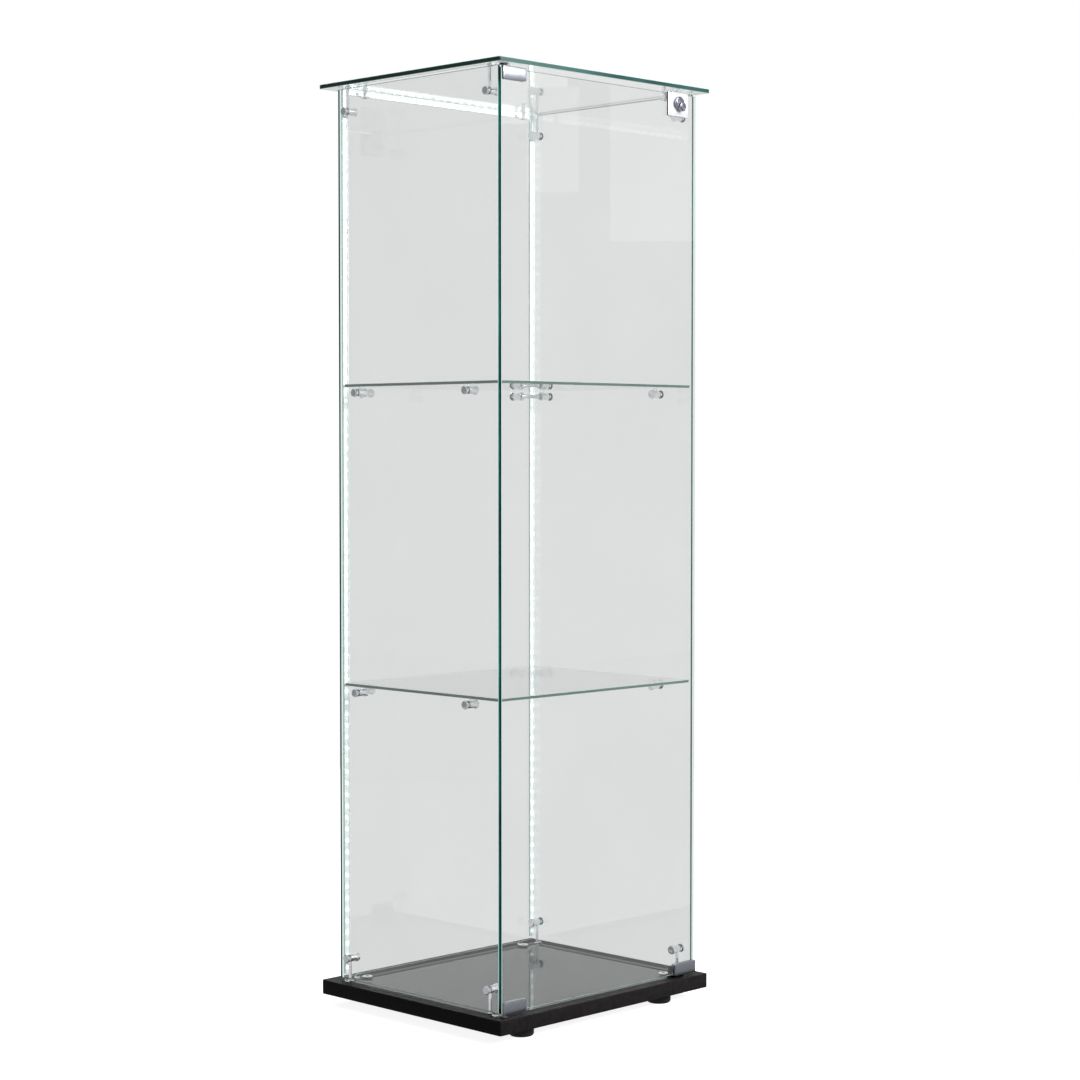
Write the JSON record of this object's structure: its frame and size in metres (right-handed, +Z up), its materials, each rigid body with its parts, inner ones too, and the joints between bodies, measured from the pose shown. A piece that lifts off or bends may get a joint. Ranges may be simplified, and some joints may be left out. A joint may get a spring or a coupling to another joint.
{
  "type": "display case",
  "caption": "Tall free-standing glass display case with a black base, two glass shelves, an LED strip and a lockable hinged door.",
  "frame": {"origin": "on the floor under the middle of the base", "axes": "+Z up, -Y out of the door, +X towards the door's lock side"},
  "size_m": [0.425, 0.37, 1.3265],
  "materials": {
    "base_board": "black semi-gloss laminate on a board",
    "feet": "matt black plastic",
    "glass": "clear float glass with polished green edges",
    "fittings": "polished chrome",
    "door_plates": "satin chrome",
    "lock": "polished chrome",
    "led_strip": "milky sleeve over white LEDs",
    "bushes": "dark grey nylon",
    "magnet": "matt black moulding"
  },
  "bodies": {
    "case": {"base_board": "base_board", "foot_front_left": "feet", "foot_back_left": "feet", "foot_front_right": "feet", "foot_back_right": "feet", "top_glass": "glass", "left_side_glass": "glass", "right_side_glass": "glass", "back_glass": "glass", "bottom_connector_front_left": "fittings", "top_connector_front_left": "fittings", "bottom_bolt_front_left": "fittings", "top_bolt_front_left": "fittings", "floor_stud_front_left": "fittings", "top_stud_front_left": "fittings", "bottom_connector_back_left": "fittings", "top_connector_back_left": "fittings", "bottom_bolt_back_left": "fittings", "top_bolt_back_left": "fittings", "floor_stud_back_left": "fittings", "top_stud_back_left": "fittings", "bottom_connector_front_right": "fittings", "top_connector_front_right": "fittings", "bottom_bolt_front_right": "fittings", "top_bolt_front_right": "fittings", "floor_stud_front_right": "fittings", "top_stud_front_right": "fittings", "bottom_connector_back_right": "fittings", "top_connector_back_right": "fittings", "bottom_bolt_back_right": "fittings", "top_bolt_back_right": "fittings", "floor_stud_back_right": "fittings", "top_stud_back_right": "fittings", "lower_shelf_connector_left": "fittings", "lower_shelf_tie_left": "fittings", "lower_shelf_pin_left": "fittings", "lower_shelf_connector_right": "fittings", "lower_shelf_tie_right": "fittings", "lower_shelf_pin_right": "fittings", "upper_shelf_connector_left": "fittings", "upper_shelf_tie_left": "fittings", "upper_shelf_pin_left": "fittings", "upper_shelf_connector_right": "fittings", "upper_shelf_tie_right": "fittings", "upper_shelf_pin_right": "fittings", "led_strip": "led_strip", "lower_hinge_bush": "bushes", "upper_hinge_bush": "bushes", "magnet_catch": "magnet", "lock_strike": "lock"},
    "door": {"door_glass": "glass", "lower_hinge_clamp": "door_plates", "upper_hinge_clamp": "door_plates", "magnet_clip": "door_plates", "lock_body": "lock", "lock_back_plate": "lock"},
    "lock": {"lock_plug": "lock", "lock_cam": "lock"},
    "upper_shelf": {"upper_shelf": "glass"},
    "lower_shelf": {"lower_shelf": "glass"}
  },
  "joints": [
    {"name": "door_hinge", "type": "hinge", "parent": "case", "child": "door", "pos_m": [-0.1925, -0.1715, 0.66], "axis": [0, 0, -1], "range_deg": [0, 110]},
    {"name": "lock_turn", "type": "hinge", "parent": "door", "child": "lock", "pos_m": [0.1585, -0.17, 1.294], "axis": [0, -1, 0], "range_deg": [0, 90]},
    {"name": "upper_shelf_lift", "type": "slide", "parent": "case", "child": "upper_shelf", "axis": [0, 0, 1], "range_m": [0, 0.04]},
    {"name": "lower_shelf_lift", "type": "slide", "parent": "case", "child": "lower_shelf", "axis": [0, 0, 1], "range_m": [0, 0.04]}
  ]
}
